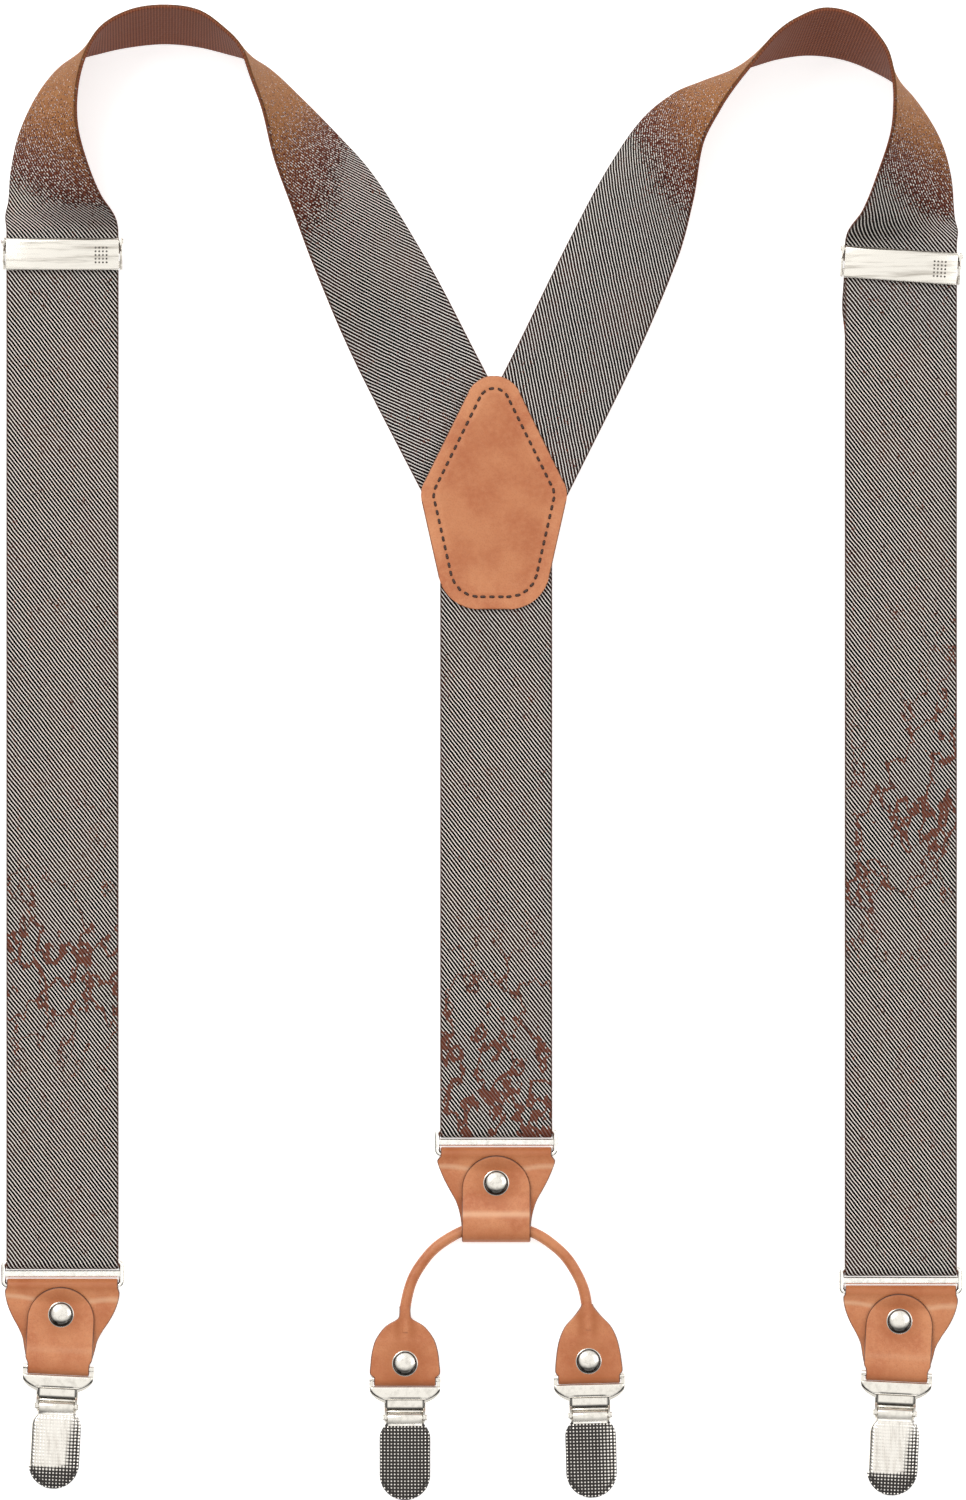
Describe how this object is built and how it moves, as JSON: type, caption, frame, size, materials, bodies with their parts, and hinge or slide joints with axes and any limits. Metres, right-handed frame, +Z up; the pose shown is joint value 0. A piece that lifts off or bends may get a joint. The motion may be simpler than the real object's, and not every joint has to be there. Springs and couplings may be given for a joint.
{
  "type": "suspenders",
  "caption": "Y-back elastic suspenders with leather yoke and tabs, lever adjusters, wire rings, rivets and spring clips, laid flat with both shoulder loops on edge.",
  "frame": {"origin": "on the table, at the middle of the outline as it lies flat", "axes": "+Z up out of the table and out of the front of the straps, +Y from the clips to the shoulders, +X to the viewer's right"},
  "size_m": [0.3006, 0.4665, 0.035],
  "materials": {
    "webbing": "fine dark and light twill, brown ribbed back",
    "leather": "smooth tan, burnished edges",
    "nickel": "bright nickel plate on stamped steel",
    "rivet_nickel": "bright nickel plate, domed",
    "thread": "waxed brown thread",
    "grip_plastic": "matte dark nylon"
  },
  "bodies": {
    "harness": {"left_strap": "webbing", "right_strap": "webbing", "back_strap": "webbing", "left_strap_return": "webbing", "right_strap_return": "webbing", "yoke_front": "leather", "yoke_back": "leather", "yoke_thread": "thread"},
    "left_adjuster": {"left_adjuster_frame": "nickel", "left_adjuster_pin": "nickel", "left_strap_end": "webbing", "left_strap_end_thread": "thread"},
    "left_adjuster_cover": {"left_adjuster_lever": "nickel"},
    "right_adjuster": {"right_adjuster_frame": "nickel", "right_adjuster_pin": "nickel", "right_strap_end": "webbing", "right_strap_end_thread": "thread"},
    "right_adjuster_cover": {"right_adjuster_lever": "nickel"},
    "left_ring": {"left_ring": "nickel"},
    "left_tab": {"left_tab": "leather", "left_tab_rivet_cap": "rivet_nickel", "left_tab_rivet_post": "rivet_nickel"},
    "right_ring": {"right_ring": "nickel"},
    "right_tab": {"right_tab": "leather", "right_tab_rivet_cap": "rivet_nickel", "right_tab_rivet_post": "rivet_nickel"},
    "back_ring": {"back_ring": "nickel"},
    "back_tab": {"back_tab": "leather", "back_tab_rivet_cap": "rivet_nickel", "back_tab_rivet_post": "rivet_nickel"},
    "rear_cord": {"rear_cord": "leather", "rear_left_rivet_cap": "rivet_nickel", "rear_left_rivet_post": "rivet_nickel", "rear_right_rivet_cap": "rivet_nickel", "rear_right_rivet_post": "rivet_nickel"},
    "front_left_clip": {"front_left_clip_base": "nickel", "front_left_clip_pin": "nickel"},
    "front_left_clip_cover": {"front_left_clip_lever": "nickel"},
    "front_left_clip_front_jaw": {"front_left_clip_jaw": "nickel", "front_left_clip_pad": "grip_plastic"},
    "front_right_clip": {"front_right_clip_base": "nickel", "front_right_clip_pin": "nickel"},
    "front_right_clip_cover": {"front_right_clip_lever": "nickel"},
    "front_right_clip_front_jaw": {"front_right_clip_jaw": "nickel", "front_right_clip_pad": "grip_plastic"},
    "rear_left_clip": {"rear_left_clip_base": "nickel", "rear_left_clip_pin": "nickel"},
    "rear_left_clip_cover": {"rear_left_clip_lever": "nickel"},
    "rear_left_clip_front_jaw": {"rear_left_clip_jaw": "nickel", "rear_left_clip_pad": "grip_plastic"},
    "rear_right_clip": {"rear_right_clip_base": "nickel", "rear_right_clip_pin": "nickel"},
    "rear_right_clip_cover": {"rear_right_clip_lever": "nickel"},
    "rear_right_clip_front_jaw": {"rear_right_clip_jaw": "nickel", "rear_right_clip_pad": "grip_plastic"}
  },
  "joints": [
    {"name": "left_adjuster_slide", "type": "slide", "parent": "harness", "child": "left_adjuster", "axis": [0, -1, 0], "range_m": [0, 0.2], "deforming": ["left_strap_return"]},
    {"name": "left_adjuster_lever_hinge", "type": "hinge", "parent": "left_adjuster", "child": "left_adjuster_cover", "pos_m": [-0.1312, 0.1597, 0.00565], "axis": [-1, 0, 0], "range_deg": [0, 100]},
    {"name": "right_adjuster_slide", "type": "slide", "parent": "harness", "child": "right_adjuster", "axis": [0, -1, 0], "range_m": [0, 0.2], "deforming": ["right_strap_return"]},
    {"name": "right_adjuster_lever_hinge", "type": "hinge", "parent": "right_adjuster", "child": "right_adjuster_cover", "pos_m": [0.13098, 0.15619, 0.00565], "axis": [-0.9976, 0.0698, 0], "range_deg": [0, 100]},
    {"name": "left_ring_tilt", "type": "hinge", "parent": "harness", "child": "left_ring", "pos_m": [-0.1312, -0.1591, 0.00228], "axis": [-1, 0, 0], "range_deg": [-30, 30]},
    {"name": "left_tab_swing", "type": "hinge", "parent": "left_ring", "child": "left_tab", "pos_m": [-0.1312, -0.1665, 0.00228], "axis": [-1, 0, 0], "range_deg": [-45, 45]},
    {"name": "right_ring_tilt", "type": "hinge", "parent": "harness", "child": "right_ring", "pos_m": [0.1307, -0.1612, 0.00228], "axis": [-1, 0, 0], "range_deg": [-30, 30]},
    {"name": "right_tab_swing", "type": "hinge", "parent": "right_ring", "child": "right_tab", "pos_m": [0.1307, -0.1686, 0.00228], "axis": [-1, 0, 0], "range_deg": [-45, 45]},
    {"name": "back_ring_tilt", "type": "hinge", "parent": "harness", "child": "back_ring", "pos_m": [0.0043, -0.118, 0.00228], "axis": [-1, 0, 0], "range_deg": [-30, 30]},
    {"name": "back_tab_swing", "type": "hinge", "parent": "back_ring", "child": "back_tab", "pos_m": [0.0043, -0.1254, 0.00228], "axis": [-1, 0, 0], "range_deg": [-45, 45]},
    {"name": "rear_cord_swivel", "type": "hinge", "parent": "back_tab", "child": "rear_cord", "pos_m": [0.0043, -0.176, 0.00305], "axis": [0, 0, 1], "range_deg": [-20, 20]},
    {"name": "front_left_clip_swing", "type": "hinge", "parent": "left_tab", "child": "front_left_clip", "pos_m": [-0.13245, -0.19217, 0.00228], "axis": [-0.9988, 0.0489, 0], "range_deg": [-60, 60]},
    {"name": "front_left_clip_lever_hinge", "type": "hinge", "parent": "front_left_clip", "child": "front_left_clip_cover", "pos_m": [-0.13304, -0.20416, 0.0043], "axis": [-0.9988, 0.0489, 0], "range_deg": [0, 105]},
    {"name": "front_left_clip_jaw_rock", "type": "hinge", "parent": "front_left_clip", "child": "front_left_clip_front_jaw", "pos_m": [-0.13295, -0.20236, 0.0023], "axis": [-0.9988, 0.0489, 0], "range_deg": [0, 8.5]},
    {"name": "front_right_clip_swing", "type": "hinge", "parent": "right_tab", "child": "front_right_clip", "pos_m": [0.12945, -0.19427, 0.00228], "axis": [-0.9988, 0.0489, 0], "range_deg": [-60, 60]},
    {"name": "front_right_clip_lever_hinge", "type": "hinge", "parent": "front_right_clip", "child": "front_right_clip_cover", "pos_m": [0.12886, -0.20625, 0.0043], "axis": [-0.9988, 0.0489, 0], "range_deg": [0, 105]},
    {"name": "front_right_clip_jaw_rock", "type": "hinge", "parent": "front_right_clip", "child": "front_right_clip_front_jaw", "pos_m": [0.12895, -0.20446, 0.0023], "axis": [-0.9988, 0.0489, 0], "range_deg": [0, 8.5]},
    {"name": "rear_left_clip_swing", "type": "hinge", "parent": "rear_cord", "child": "rear_left_clip", "pos_m": [-0.0242, -0.1957, 0.00228], "axis": [-1, 0, 0], "range_deg": [-60, 60]},
    {"name": "rear_left_clip_lever_hinge", "type": "hinge", "parent": "rear_left_clip", "child": "rear_left_clip_cover", "pos_m": [-0.0242, -0.2077, 0.0043], "axis": [-1, 0, 0], "range_deg": [0, 105]},
    {"name": "rear_left_clip_jaw_rock", "type": "hinge", "parent": "rear_left_clip", "child": "rear_left_clip_front_jaw", "pos_m": [-0.0242, -0.2059, 0.0023], "axis": [-1, 0, 0], "range_deg": [0, 8.5]},
    {"name": "rear_right_clip_swing", "type": "hinge", "parent": "rear_cord", "child": "rear_right_clip", "pos_m": [0.03331, -0.19495, 0.00228], "axis": [-0.9997, -0.0262, 0], "range_deg": [-60, 60]},
    {"name": "rear_right_clip_lever_hinge", "type": "hinge", "parent": "rear_right_clip", "child": "rear_right_clip_cover", "pos_m": [0.03362, -0.20694, 0.0043], "axis": [-0.9997, -0.0262, 0], "range_deg": [0, 105]},
    {"name": "rear_right_clip_jaw_rock", "type": "hinge", "parent": "rear_right_clip", "child": "rear_right_clip_front_jaw", "pos_m": [0.03357, -0.20514, 0.0023], "axis": [-0.9997, -0.0262, 0], "range_deg": [0, 8.5]}
  ],
  "couplings": [
    {"joint": "front_left_clip_jaw_rock", "follows": "front_left_clip_lever_hinge", "ratio": 0.07619},
    {"joint": "front_right_clip_jaw_rock", "follows": "front_right_clip_lever_hinge", "ratio": 0.07619},
    {"joint": "rear_left_clip_jaw_rock", "follows": "rear_left_clip_lever_hinge", "ratio": 0.07619},
    {"joint": "rear_right_clip_jaw_rock", "follows": "rear_right_clip_lever_hinge", "ratio": 0.07619}
  ]
}
